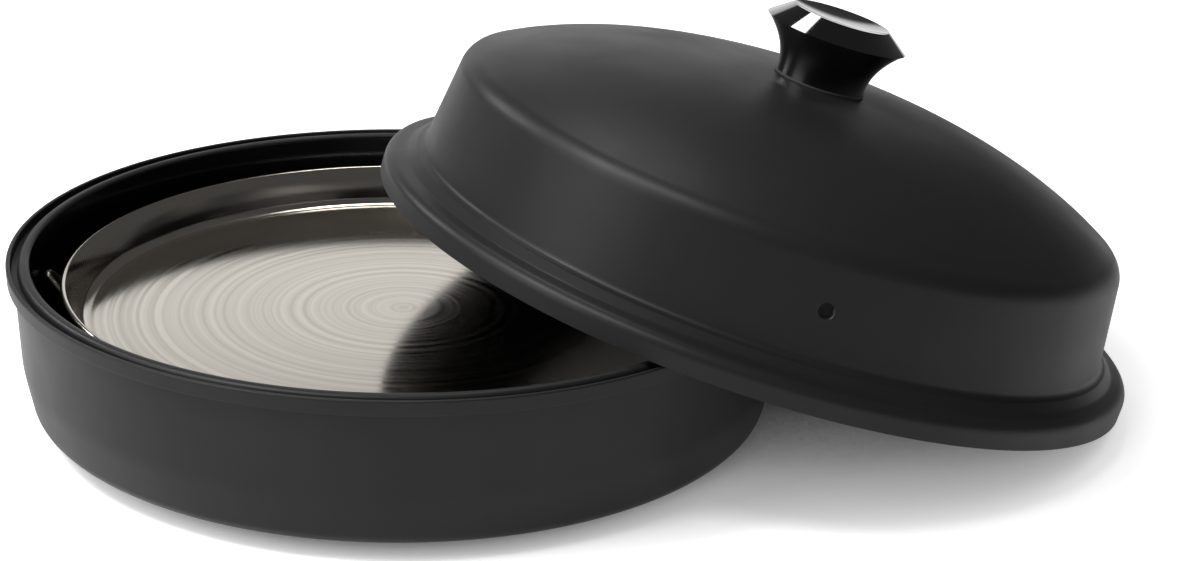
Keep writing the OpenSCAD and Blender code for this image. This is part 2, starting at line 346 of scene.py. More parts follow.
def arc(before: Array, corner: Array, after: Array, radius: float, steps: int) -> Array:
    """Points of a corner rounded with a radius, in the plane or in space.

    The arc's middle is m = corner + bisector * radius / sin(half angle), and its points are
    m + from * cos(t) + across * sin(t), for t from 0 to the turn.

    Args:
        before: the point before the corner.
        corner: the corner.
        after: the point after it.
        radius: the rounding's radius, or 0 for a sharp corner.
        steps: the number of parts in the arc.

    Returns:
        The arc's points, one per row.
    """
    if radius <= 0:
        return corner[None]
    u, w = unit(before - corner), unit(after - corner)
    half = math.acos(float(np.clip(u @ w, -1, 1))) / 2
    mid = corner + unit(u + w) * radius / math.sin(half)
    start = corner + u * radius / math.tan(half) - mid
    end = corner + w * radius / math.tan(half) - mid
    across = unit(end - start * (end @ start) / (start @ start)) * radius
    t = np.linspace(0, math.pi - 2 * half, steps + 1)[:, None]
    return mid + start * np.cos(t) + across * np.sin(t)


def rounded(points: list, radii: list[float], steps: int = 10) -> Array:
    """A line through points whose corners are rounded.

    Args:
        points: the corners, as pairs or triples.
        radii: one radius per corner; the ends stay sharp.
        steps: parts in each arc.

    Returns:
        The line's points, one per row.
    """
    p = np.array(points, float)
    parts = [p[:1]]
    parts += [arc(p[i - 1], p[i], p[i + 1], radii[i], steps) for i in range(1, len(p) - 1)]
    return np.vstack(parts + [p[-1:]])


def braced(
    line: Array, near: float = 0.5, longest: float = 14.0, shortest: float = 2.0
) -> Array:
    """Adds points to a line's straight parts, so that smooth shading stays flat there.

    Args:
        line: points, one per row.
        near: how far from each end of a straight part a point is added.
        longest: the longest part that is left undivided between those points.
        shortest: a part up to this long gets no points.

    Returns:
        The line with the points added.
    """
    step = np.diff(line, axis=0)
    size = np.linalg.norm(step, axis=1)
    parts = []
    for a, v, n in zip(line[:-1], step, size):
        share = [0.0]
        if n > shortest:
            share += list(np.linspace(near / n, 1 - near / n, max(2, int(n // longest) + 2)))
        parts.append(a + np.array(share)[:, None] * v)
    return np.vstack(parts + [line[-1:]])


def moved(points: list, by: float) -> Array:
    """A line moved sideways, to the left of its run, with its parts kept parallel.

    Each inner corner goes to corner + m * by / (m . u), where m halves the normals u and w.

    Args:
        points: the line's corners, as pairs.
        by: how far it moves.

    Returns:
        The new corners.
    """
    p = np.array(points, float)
    run = unit(np.diff(p, axis=0))
    side = np.stack([-run[:, 1], run[:, 0]], 1)
    first, last = np.vstack([side[:1], side]), np.vstack([side, side[-1:]])
    mean = unit(first + last)
    return p + mean * by / np.sum(mean * first, axis=1, keepdims=True)


def moved_radii(points: list, radii: list[float], by: float) -> list[float]:
    """The rounding radii of a line after it has moved sideways.

    Args:
        points: the line's corners.
        radii: its radii.
        by: how far it moves, to the left of its run.

    Returns:
        The radii, larger outside a bend and smaller inside.
    """
    p = np.array(points, float)
    a, b = np.diff(p, axis=0)[:-1], np.diff(p, axis=0)[1:]
    turn = np.concatenate([[0], np.sign(a[:, 0] * b[:, 1] - a[:, 1] * b[:, 0]), [0]])
    old = np.array(radii, float)
    return list(np.where(old > 0, np.maximum(SMALLEST_ROUND, old - by * turn), 0))


@dataclass
class Surface:
    """A mesh in the making, in millimetres.

    Attributes:
        points: one vertex per row.
        faces: lists of vertex numbers, all quads or all triangles per array.
        finish: one material number per face, for each array of faces.
    """

    points: Array
    faces: list[Array]
    finish: list[Array]

    def joined(self, other: "Surface") -> "Surface":
        """This surface and another as one.

        Args:
            other: the surface to add.

        Returns:
            One surface with the faces of both.
        """
        points = np.vstack([self.points, other.points])
        shifted = [f + len(self.points) for f in other.faces]
        return Surface(points, self.faces + shifted, self.finish + other.finish)

    def placed(self, matrix: Matrix) -> "Surface":
        """The surface after a transform, as p' = M p."""
        m = np.array(matrix)
        return Surface(self.points @ m[:3, :3].T + m[:3, 3], self.faces, self.finish)

    def keep(
        self, name: str, finishes: list[Finish], body: str, slot: str, node: str,
        crease_deg: float = 32.0,
    ) -> None:
        """Makes the Blender object, smooth except along its creases, in place of a node.

        Args:
            name: the object's name.
            finishes: the finishes that the material numbers stand for.
            body: the body that it rides on.
            slot: a material slot's name, which is not used.
            node: the node that it replaces.
            crease_deg: edges bent by more than this stay sharp.
        """
        mesh = bpy.data.meshes.new(name)
        corners = np.concatenate([f.ravel() for f in self.faces])
        sizes = np.concatenate([np.full(len(f), f.shape[1]) for f in self.faces])
        mesh.vertices.add(len(self.points))
        mesh.vertices.foreach_set("co", (self.points * MM).astype(np.float32).ravel())
        mesh.loops.add(len(corners))
        mesh.loops.foreach_set("vertex_index", corners.astype(np.int32))
        mesh.polygons.add(len(sizes))
        starts = np.concatenate([[0], np.cumsum(sizes)[:-1]])
        mesh.polygons.foreach_set("loop_start", starts.astype(np.int32))
        for one in finishes:
            mesh.materials.append(one.material())
        marks = np.concatenate(self.finish)
        mesh.polygons.foreach_set("material_index", marks.astype(np.int32))
        mesh.update(calc_edges=True)
        mesh.validate()
        weld(mesh)
        mesh.polygons.foreach_set("use_smooth", np.ones(len(mesh.polygons), bool))
        mesh.set_sharp_from_angle(angle=math.radians(crease_deg))
        piece = new_object(name, mesh)
        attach(piece, body)
        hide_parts(node)
        log.info("%s: %d faces", name, len(mesh.polygons))


def new_object(name: str, data: bpy.types.ID) -> bpy.types.Object:
    """Makes an object of some data and links it to the scene.

    Args:
        name: the object's name.
        data: its mesh, lamp or camera.

    Returns:
        The new object.
    """
    made = bpy.data.objects.new(name, data)
    bpy.context.scene.collection.objects.link(made)
    return made


def weld(mesh: bpy.types.Mesh) -> None:
    """Merges a mesh's doubled vertices and turns all its faces outwards.

    Args:
        mesh: the mesh, changed in place.
    """
    work = bmesh.new()
    work.from_mesh(mesh)
    bmesh.ops.remove_doubles(work, verts=work.verts, dist=WELD_M)
    bmesh.ops.dissolve_degenerate(work, edges=work.edges, dist=WELD_M / 10)
    bmesh.ops.recalc_face_normals(work, faces=work.faces)
    work.to_mesh(mesh)
    work.free()


def strip(low: Array, high: Array) -> Array:
    """Quads between two closed rings of vertices: (a_j, a_j+1, b_j+1, b_j).

    Args:
        low: vertex numbers round one ring, or one ring per row.
        high: the same for the other ring.

    Returns:
        The quads, with their four vertex numbers along the last axis.
    """
    return np.stack([low, np.roll(low, -1, -1), np.roll(high, -1, -1), high], -1)


def turned(
    line: Array, steps: int, finish: Array | None = None, skip: tuple[slice, slice] | None = None
) -> Surface:
    """A profile turned about the Z axis: (r, z) goes to (r cos t, r sin t, z).

    Args:
        line: points (r, z), one per row. A closed outline repeats its first point.
        steps: parts in the full turn.
        finish: one material number per part of the line, or None for 0.
        skip: rows and columns of faces that are left out.

    Returns:
        The surface, with doubled vertices at its poles left for the weld.
    """
    t = np.linspace(0, FULL_TURN, steps, endpoint=False)
    r, z = line[:, 0], line[:, 1]
    x, y = np.outer(r, np.cos(t)), np.outer(r, np.sin(t))
    points = np.stack([x, y, np.repeat(z[:, None], steps, 1)], -1)
    grid = np.arange(len(line) * steps).reshape(len(line), steps)
    quads = strip(grid[:-1], grid[1:])
    if finish is None:
        finish = np.zeros(len(line) - 1, int)
    mark = np.repeat(finish[:, None], steps, 1)
    keep = np.ones(mark.shape, bool)
    if skip is not None:
        keep[skip] = False
    return Surface(points.reshape(-1, 3), [quads[keep]], [mark[keep]])


def rim_of(rows: slice, columns: slice) -> Array:
    """Row and column of each vertex round a patch of faces, counter-clockwise.

    Args:
        rows: the patch's rows of faces.
        columns: its columns of faces.

    Returns:
        A row and a column for each vertex.
    """
    low = [(rows.start, j) for j in range(columns.start, columns.stop)]
    right = [(i, columns.stop) for i in range(rows.start, rows.stop)]
    high = [(rows.stop, j) for j in range(columns.stop, columns.start, -1)]
    left = [(i, columns.start) for i in range(rows.stop, rows.start, -1)]
    return np.array(low + right + high + left)


def tube(path: Array, radius: float, sides: int = 16, closed: bool = False) -> Surface:
    """A round wire carried along a path: p + radius (n cos a + b sin a).

    The frame's normal n is carried from point to point and kept square to the path.

    Args:
        path: points, one per row.
        radius: the wire's radius.
        sides: sides of its section.
        closed: whether the path is a ring.

    Returns:
        The surface, with flat round ends where the path is open.
    """
    ahead, back = np.roll(path, -1, 0), np.roll(path, 1, 0)
    run = ahead - back
    if not closed:
        run[0], run[-1] = path[1] - path[0], path[-1] - path[-2]
    run = unit(run)
    n = np.zeros_like(run)
    start = np.cross(run[0], [0.0, 0.0, 1.0])
    upright = np.linalg.norm(start) <= 1e-3
    n[0] = unit(np.cross(run[0], [1.0, 0.0, 0.0]) if upright else start)
    for i in range(1, len(run)):
        n[i] = unit(n[i - 1] - run[i] * (n[i - 1] @ run[i]))
    b = np.cross(run, n)
    a = np.linspace(0, FULL_TURN, sides, endpoint=False)[None, :, None]
    points = path[:, None] + radius * (np.cos(a) * n[:, None] + np.sin(a) * b[:, None])
    points = points.reshape(-1, 3)
    grid = np.arange(len(points)).reshape(len(path), sides)
    if closed:
        quads = strip(grid, np.roll(grid, -1, 0)).reshape(-1, 4)
        return Surface(points, [quads], [np.zeros(len(quads), int)])
    quads = strip(grid[:-1], grid[1:]).reshape(-1, 4)
    first, last = grid[0], grid[-1]
    middles = np.repeat([[len(points)], [len(points) + 1]], sides, 1)
    caps = np.vstack([
        np.stack([middles[0], np.roll(first, -1), first], -1),
        np.stack([middles[1], last, np.roll(last, -1)], -1),
    ])
    marks = [np.zeros(len(quads), int), np.zeros(len(caps), int)]
    return Surface(np.vstack([points, path[:1], path[-1:]]), [quads, caps], marks)


def dress(node: str, finish: Finish) -> None:
    """Gives a node that stays its finish.

    Args:
        node: the node's name.
        finish: the finish of all its faces.
    """
    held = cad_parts[node]
    held.data.materials.clear()
    held.data.materials.append(finish.material())
    held.data.polygons.foreach_set("material_index", np.zeros(len(held.data.polygons), np.int32))
    log.info("%s keeps its shape", node)


# ---- sub-assemblies


@dataclass
class Pan:
    """The deep round pan and the steel disc under it, in millimetres.

    Attributes:
        foot_taper: how far the wall leans in from collar to foot.
        crown_in: how far the wall still is from its widest at the height crown_z.
        lip_share: rounding of the lip as a part of its width, and so on.
        coat_in: how far outside the ridge's inner edge the smooth coating starts.
        disc_r: radius of the disc, and disc_t its thickness.
    """

    lip_r: float = 159.86
    height: float = 68.2
    floor: float = 5.0
    foot_taper: float = 5.5
    bevel_w: float = 20.3
    bevel_h: float = 8.3
    foot_round: float = 18.0
    bevel_round: float = 6.0
    crown_in: float = 1.7
    crown_z: float = 27.0
    crown_round: float = 45.0
    collar_h: float = 6.0
    collar_taper: float = 0.2
    collar_step: float = 2.8
    step_round: float = 0.4
    edge_round: float = 0.5
    lip_w: float = 1.9
    channel_w: float = 2.9
    channel_depth: float = 4.0
    ridge_w: float = 4.8
    lip_share: float = 0.35
    channel_share: float = 0.2
    ridge_share: float = 0.45
    inner_taper: float = 3.0
    inner_round: float = 14.0
    coat_in: float = 0.3
    disc_r: float = 111.0
    disc_t: float = 1.2
    steps: int = 288

    @property
    def inner_r(self) -> float:
        """Radius inside the seat ridge."""
        return self.lip_r - self.lip_w - self.channel_w - self.ridge_w

    def outline(self) -> tuple[Array, Array]:
        """The casting's half section.

        Returns:
            Its points (r, z), from the axis under the pan round to the axis on its floor, and
            for each part of the line 0 for the matte coating or 1 for the smooth inner one.
        """
        collar_z, collar_r = self.height - self.collar_h, self.lip_r - self.collar_taper
        body_r = collar_r - self.collar_step
        foot_r = body_r - self.foot_taper
        lip_in, deep = self.lip_r - self.lip_w, self.height - self.channel_depth
        ridge_out = lip_in - self.channel_w
        lip = self.lip_share * self.lip_w
        channel = self.channel_share * self.channel_w
        ridge = self.ridge_share * self.ridge_w
        corners_and_roundings = [
            ((0, self.disc_t), 0),
            ((self.disc_r, self.disc_t), 0),
            ((self.disc_r, 0), 0),
            ((foot_r - self.bevel_w, 0), self.foot_round),
            ((foot_r, self.bevel_h), self.bevel_round),
            ((body_r - self.crown_in, self.crown_z), self.crown_round),
            ((body_r, collar_z), self.step_round),
            ((collar_r, collar_z), self.edge_round),
            ((self.lip_r, self.height), lip),
            ((lip_in, self.height), lip),
            ((lip_in, deep), channel),
            ((ridge_out, deep), channel),
            ((ridge_out, self.height), ridge),
            ((self.inner_r, self.height), ridge),
            ((self.inner_r - self.inner_taper, self.floor), self.inner_round),
            ((0, self.floor), 0),
        ]
        line = braced(rounded(*zip(*corners_and_roundings)))
        r, z = (line[:-1] + line[1:]).T / 2
        past_lip = np.arange(len(r)) > np.argmax(z)
        inside = (r < self.inner_r + self.coat_in) & past_lip
        return line, inside.astype(int)

    def build(self) -> None:
        """Makes the casting and dresses the disc."""
        line, inside = self.outline()
        casting = turned(line, self.steps, inside)
        casting.keep("pan_casting", COATINGS, "pan", "charcoal_coating", "base_pan")
        dress("base_disc", DISC_STEEL)


@dataclass
class Rack:
    """The wire rack that holds the tray off the pan's floor, in millimetres.

    Attributes:
        foot_z: height of the middle of the foot ring's wire, and arm_z of the arms' wire.
        weld_sink: how deep one wire is sunk in another at a weld.
        arm_turn: turn of the first arm from +X, in degrees.
        tip_half_w: half the width of an arm's tip.
    """

    wire_r: float = 1.5
    ring_r: float = 105.0
    inner_ring_r: float = 45.0
    foot_z: float = 6.8
    arm_z: float = 38.2
    weld_sink: float = 0.06
    arms: int = 4
    arm_turn: float = 75.8
    arm_half_w: float = 7.0
    tip_half_w: float = 1.9
    tip_rise: float = 12.2
    tip_r: float = 147.255
    knee_round: float = 5.0
    tip_round: float = 1.8
    steps: int = 192

    @property
    def ring_z(self) -> float:
        """Height of the middle of the rings under the arms."""
        return self.arm_z - 2 * self.wire_r + self.weld_sink

    def ring(self, radius: float, z: float) -> Surface:
        """A ring of wire: the path is (R cos t, R sin t, z).

        Args:
            radius: R, to the middle of the wire.
            z: the height of the wire's middle.

        Returns:
            The closed ring.
        """
        t = np.linspace(0, FULL_TURN, self.steps, endpoint=False)
        path = np.stack([radius * np.cos(t), radius * np.sin(t), np.full_like(t, z)], -1)
        return tube(path, self.wire_r, closed=True)

    def arm(self, number: int) -> Surface:
        """The arm of a number, bent from one wire: a hairpin that rises to a narrow round tip.

        Args:
            number: the arm's number, from 0.

        Returns:
            The arm, turned to its place.
        """
        knee = self.tip_r - self.tip_rise
        half = [
            (self.inner_ring_r, self.arm_half_w, self.arm_z),
            (knee, self.arm_half_w, self.arm_z),
            (self.tip_r, self.tip_half_w, self.arm_z + self.tip_rise),
        ]
        other = [(x, -y, z) for x, y, z in reversed(half)]
        radii = [0, self.knee_round, self.tip_round, self.tip_round, self.knee_round, 0]
        wire = rounded(half + other, radii, steps=8)
        path = braced(wire, near=1.0, longest=12.0, shortest=4.0)
        return tube(path, self.wire_r).placed(self.turn(number))

    def post(self, number: int) -> Surface:
        """An upright post between the two large rings.

        Args:
            number: the post's number, from 0.

        Returns:
            The post, halfway between the arm of that number and the next.
        """
        low = self.foot_z + self.wire_r - self.weld_sink
        high = self.ring_z - self.wire_r + self.weld_sink
        path = np.array([[self.ring_r, 0, z] for z in (low, (low + high) / 2, high)])
        return tube(path, self.wire_r).placed(self.turn(number + 0.5))

    def turn(self, number: float) -> Matrix:
        """The turn of arm or post number about the pan's axis."""
        return Matrix.Rotation(math.radians(self.arm_turn + 360 / self.arms * number), 4, "Z")

    def build(self) -> None:
        """Makes every wire of the rack."""
        wires = {
            "top_ring": self.ring(self.ring_r, self.ring_z),
            "inner_ring": self.ring(self.inner_ring_r, self.ring_z),
            "foot_ring": self.ring(self.ring_r, self.foot_z),
        }
        wires |= {f"arm_{i + 1}": self.arm(i) for i in range(self.arms)}
        wires |= {f"post_{i + 1}": self.post(i) for i in range(self.arms)}
        for name, surface in wires.items():
            surface.keep(f"wire_{name}", [WIRE_STEEL], "rack", "rack_wire", f"rack_{name}")


@dataclass
class Tray:
    """The shallow steel tray, in millimetres.

    Attributes:
        bottom: height of its underside over the table.
        bead_turn: angles at which the rolled rim starts and ends, in radians.
        crease_deg: edges bent by more than this stay sharp.
    """

    bottom: float = 40.0
    depth: float = 17.2
    rim_r: float = 137.7
    sheet: float = 0.8
    taper: float = 6.0
    foot_round: float = 6.0
    bead_r: float = 1.3
    bead_turn: Pair = (2.25, -2.6)
    bead_parts: int = 27
    crease_deg: float = 50.0
    steps: int = 288

    def build(self) -> None:
        """Makes the tray as one spun sheet whose edge is rolled outwards into a bead."""
        rim_z = self.bottom + self.depth - self.bead_r
        line = [(0, self.bottom), (self.rim_r - self.taper, self.bottom), (self.rim_r, rim_z)]
        radii = [0, self.foot_round, 0]
        under = rounded(line, radii)
        over = rounded(moved(line, self.sheet), moved_radii(line, radii, self.sheet))
        t = np.linspace(*self.bead_turn, self.bead_parts + 1)
        bead = np.array([self.rim_r, rim_z]) + self.bead_r * np.stack([np.cos(t), np.sin(t)], 1)
        outline = np.vstack([braced(under[:-1]), bead[::-1], braced(over[:-1])[::-1]])
        sheet = turned(outline, self.steps)
        sheet.keep("tray_sheet", [TRAY_STEEL], "tray", "tray_steel", "pizza_tray", self.crease_deg)


@dataclass
class Lid:
    """The domed lid, in its own frame, in millimetres: its edge at height 0, its axis upright.

    Attributes:
        ledge_w: width of the flange's top, which rises by ledge_rise to the raised step.
        cove_w: width of the hollow under the wall, which rises by cove_rise.
        lean_in: how far the wall leans in.
        shoulder_reach: what the shoulder takes of the dome, in times its rounding.
        dome_fullness: share of the fourth power in the dome's curve.
        dome_part: a straight part above the vent longer than this gets points between.
        vent_turn: turn of the vent from +X, in degrees.
        vent_reach: how far above and below the vent its window in the mesh reaches.
        vent_parts: rows and columns of faces in that window.
        at_x: where the lid's origin is on the way it leans, and at_z its height.
    """

    flange_r: float = 164.95
    wall: float = 3.0
    band_h: float = 9.8
    band_round: float = 4.8
    ledge_w: float = 8.0
    ledge_rise: float = 1.7
    step_w: float = 3.7
    step_rise: float = 3.1
    cove_w: float = 2.6
    cove_rise: float = 0.8
    lean_in: float = 5.8
    wall_h: float = 41.8
    ledge_round: float = 3.5
    step_round: float = 1.5
    cove_round: float = 3.0
    shoulder_round: float = 11.0
    shoulder_reach: float = 1.1
    dome_rise: float = 31.6
    dome_fullness: float = 0.34
    dome_points: int = 40
    dome_part: float = 4.0
    pad_r: float = 20.1
    hole_r: float = 3.3
    vent_r: float = 3.0
    vent_edge: float = 0.35
    vent_h: float = 35.1
    vent_turn: float = -100.9
    vent_reach: float = 7.8
    vent_ring: float = 2.2
    vent_parts: int = 6
    lean: float = 16.3
    at_x: float = 150.762
    at_z: float = 46.31
    steps: int = 360

    @property
    def place(self) -> Matrix:
        """From the lid's own frame to where the lid leans."""
        lean = Matrix.Rotation(math.radians(self.lean), 4, "Y")
        return Matrix.Translation((self.at_x, 0, self.at_z)) @ lean

    @property
    def dome_top(self) -> float:
        """Height of the crown."""
        flange = self.band_h + self.ledge_rise + self.step_rise + self.cove_rise
        return flange + self.wall_h + self.dome_rise

    @property
    def wall_top_r(self) -> float:
        """Radius of the wall's top, before the shoulder is rounded."""
        return self.flange_r - self.ledge_w - self.step_w - self.cove_w - self.lean_in

    def dome_z(self, r: Array | float) -> Array | float:
        """Height of the dome at a radius: top - rise * ((1 - k) q + k q^2), q = (r / R)^2."""
        q, k = (np.asarray(r) / self.wall_top_r) ** 2, self.dome_fullness
        return self.dome_top - self.dome_rise * ((1 - k) * q + k * q * q)

    @property
    def pad_z(self) -> float:
        """Height of the flat seat under the knob."""
        return float(self.dome_z(self.pad_r))

    def corners(self) -> tuple[list, list[float]]:
        """Corners and radii of the lid's outside, from its edge to the middle.

        Returns:
            The corners as (r, z), and one radius per corner.
        """
        ledge = (self.flange_r - self.ledge_w, self.band_h + self.ledge_rise)
        step = (ledge[0] - self.step_w, ledge[1] + self.step_rise)
        foot = (step[0] - self.cove_w, step[1] + self.cove_rise)
        top = (foot[0] - self.lean_in, foot[1] + self.wall_h)
        dome_r = self.wall_top_r - self.shoulder_reach * self.shoulder_round
        r = np.linspace(dome_r, self.pad_r, self.dome_points)
        points = [(self.flange_r, 0), (self.flange_r, self.band_h), ledge, step, foot, top]
        radii = [0, self.band_round, self.ledge_round, self.step_round, self.cove_round]
        radii += [self.shoulder_round] + [0] * (self.dome_points + 1)
        points += [(float(a), float(self.dome_z(a))) for a in r]
        return points + [(0, self.pad_z)], radii

    def with_rows(self, line: Array) -> tuple[Array, slice]:
        """Braces a line that crosses the vent's height once, with even rows there.

        Args:
            line: the profile.

        Returns:
            The profile, and the rows that the vent's window takes up.
        """
        z = self.vent_h + np.linspace(-self.vent_reach, self.vent_reach, self.vent_parts + 1)
        at = int(np.flatnonzero((line[:-1, 1] < z[0]) & (line[1:, 1] > z[-1]))[0])
        a, b = line[at], line[at + 1]
        rows = a + (b - a) * ((z - a[1]) / (b[1] - a[1]))[:, None]
        head = braced(np.vstack([line[: at + 1], rows[:1]]))[:-1]
        tail = braced(np.vstack([rows[-1:], line[at + 1 :]]), shortest=self.dome_part)[1:]
        return np.vstack([head, rows, tail]), slice(len(head), len(head) + self.vent_parts)

    def skin(self, line: Array, rows: slice, finish: int) -> tuple[Surface, Array, Array]:
        """One side of the shell, with a round opening for the vent.

        Two rings of faces join the window's square rim to the opening, with two vertices for
        each of the rim's, at the rim's angles and halfway between.

        Args:
            line: the side's profile.
            rows: the rows that the vent's window takes up.
            finish: the side's material number.

        Returns:
            The surface, the opening's points and the wall's outward normal at the vent.
        """
        middle = round(self.vent_turn % 360 / 360 * self.steps)
        half = self.vent_parts // 2
        columns = slice(middle - half, middle + half)
        body = turned(line, self.steps, np.full(len(line) - 1, finish), (rows, columns))
        rim = rim_of(rows, columns)
        body_grid = body.points.reshape(len(line), self.steps, 3)
        rim_points = body_grid[rim[:, 0], rim[:, 1] % self.steps]

        turn, tilt = math.radians(self.vent_turn), math.atan2(self.lean_in, self.wall_h)
        out = np.array([math.cos(turn), math.sin(turn), 0])
        along = np.array([-math.sin(turn), math.cos(turn), 0])
        axis = out * math.cos(tilt) + np.array([0, 0, math.sin(tilt)])
        up = np.cross(axis, along)
        wall = line[rows.start : rows.stop + 1]

        def wall_r(z: Array | float) -> Array:
            """Radius of the wall at a height."""
            return np.interp(z, wall[:, 1], wall[:, 0])

        centre = out * wall_r(self.vent_h) + np.array([0, 0, self.vent_h])
        spot = rim_points - centre
        angle = np.arctan2(spot @ up, spot @ along)
        to_next = (np.roll(angle, -1) - angle + math.pi) % FULL_TURN - math.pi
        fine = np.stack([angle, angle + to_next / 2], 1).ravel()[:, None]

        def circle(radius: float) -> Array:
            """Points of a circle round the vent, laid on the wall's cone.

            Args:
                radius: the circle's radius.

            Returns:
                Points, one per row.
            """
            flat = centre + radius * (np.cos(fine) * along + np.sin(fine) * up)
            scale = wall_r(flat[:, 2]) / np.hypot(flat[:, 0], flat[:, 1])
            return flat * np.stack([scale, scale, np.ones_like(scale)], 1)

        n = len(rim)
        square = len(body.points) + np.arange(n)
        outer = len(body.points) + n + np.arange(2 * n)
        at, halfway = outer[0::2], outer[1::2]
        square_next, at_next = np.roll(square, -1), np.roll(at, -1)
        triangles = (
            (square, halfway, at),
            (square, square_next, halfway),
            (square_next, at_next, halfway),
        )
        first = np.vstack([np.stack(corners, -1) for corners in triangles])
        second = strip(outer, outer + 2 * n)
        rings = [circle(self.vent_r + self.vent_ring), circle(self.vent_r + self.vent_edge)]
        points = np.vstack([body.points, rim_points, *rings])
        marks = [np.full(len(first), finish), np.full(len(second), finish)]
        surface = Surface(points, body.faces + [first, second], body.finish + marks)
        return surface, circle(self.vent_r), axis

    def build(self) -> None:
        """Makes the casting: outside, inside, the edges that join them and the vent's bore."""
        points, radii = self.corners()
        outer = rounded(points, radii)
        inner = rounded(moved(points, self.wall), moved_radii(points, radii, self.wall))
        outer[-1, 0] = inner[-1, 0] = self.hole_r
        outer, outer_rows = self.with_rows(outer)
        inner, inner_rows = self.with_rows(inner)
        out_skin, out_ring, axis = self.skin(outer, outer_rows, 0)
        in_skin, in_ring, _ = self.skin(inner, inner_rows, 1)
        edge = turned(braced(np.vstack([inner[:1], outer[:1]])), self.steps)
        hole = turned(np.vstack([inner[-1:], outer[-1:]]), self.steps)
        n, rounding = len(out_ring), axis * self.vent_edge
        rings = [out_skin.points[-n:], out_ring - rounding, in_ring + rounding, in_skin.points[-n:]]
        grid = np.arange(4 * n).reshape(4, n)
        bore = Surface(np.vstack(rings), list(strip(grid[:-1], grid[1:])), [np.zeros(n, int)] * 3)
        shell = out_skin.joined(in_skin).joined(edge).joined(hole).joined(bore).placed(self.place)
        shell.keep("lid_casting", COATINGS, "lid", "charcoal_coating", "lid_shell")


@dataclass
class Knob:
    """The spool knob and what holds it, in the lid's frame, in millimetres.

    Attributes:
        flare: power by which the neck widens from its foot to the ridge.
        bevel_h: height of the top's rim over the ridge.
        gasket_lip: how far the gasket stands out round the foot.
        crease_deg: edges bent by more than this stay sharp.
    """

    lid: Lid = field(default_factory=Lid)
    foot_r: float = 19.0
    ridge_r: float = 30.1
    top_r: float = 20.7
    ridge_h: float = 21.4
    flare: float = 2.2
    bevel_h: float = 7.0
    dish: float = 2.4
    gasket_t: float = 1.1
    gasket_lip: float = 0.5
    gasket_round: float = 0.3
    insert_r: float = 5.0
    insert_h: float = 12.0
    neck_points: int = 26
    top_points: int = 24
    crease_deg: float = 24.0
    steps: int = 192

    def outline(self) -> Array:
        """The spool's half section: socket, flared neck, bevel and a top hollowed as a sphere.

        Returns:
            Points (r, z), one per row.
        """
        h = np.linspace(0, 1, self.neck_points)
        neck_r = self.foot_r + (self.ridge_r - self.foot_r) * h**self.flare
        neck = np.stack([neck_r, self.ridge_h * h], 1)
        rim_z = self.ridge_h + self.bevel_h
        sphere_r = (self.top_r**2 + self.dish**2) / (2 * self.dish)
        r = np.linspace(self.top_r, 0, self.top_points)
        top = np.stack([r, rim_z - self.dish + sphere_r - np.sqrt(sphere_r**2 - r**2)], 1)
        socket = [(0, self.insert_h), (self.insert_r, self.insert_h), (self.insert_r, 0)]
        return braced(np.vstack([socket, neck, top]))

    def build(self) -> None:
        """Makes the knob and its gasket, and dresses the fixing."""
        place, hole_r, low = self.lid.place, self.lid.hole_r, self.lid.pad_z
        high, edge = low + self.gasket_t, self.foot_r + self.gasket_lip
        spool = turned(self.outline() + np.array([0, high]), self.steps).placed(place)
        phenolic = [KNOB_PHENOLIC]
        spool.keep("knob_spool", phenolic, "lid", "knob_plastic", "knob_body", self.crease_deg)
        loop = [(hole_r, low), (edge, low), (edge, high), (hole_r, high), (hole_r, low)]
        rounds = [0, self.gasket_round, self.gasket_round, 0, 0]
        seal = turned(braced(rounded(loop, rounds)), self.steps).placed(place)
        seal.keep("knob_seal", [SEAL_SILICONE], "lid", "gasket", "knob_gasket")
        dress("knob_insert", INSERT_BRASS)
        for node in ("knob_screw", "knob_washer", "knob_spring_washer"):
            dress(node, FIXING_ZINC)


# ---- studio


@dataclass
class Lamp:
    """A soft box that hangs at one point and faces another, in metres and watts."""

    name: str
    at: Triple
    aim: Triple
    size: Pair
    power: float

    def build(self) -> None:
        """Hangs the lamp."""
        light = bpy.data.lights.new(self.name, "AREA")
        light.shape = "RECTANGLE"
        light.size, light.size_y = self.size
        light.energy = self.power
        made = new_object(self.name, light)
        made.location = self.at
        made.rotation_mode = "QUATERNION"
        made.rotation_quaternion = (Vector(self.aim) - Vector(self.at)).to_track_quat("-Z", "Y")


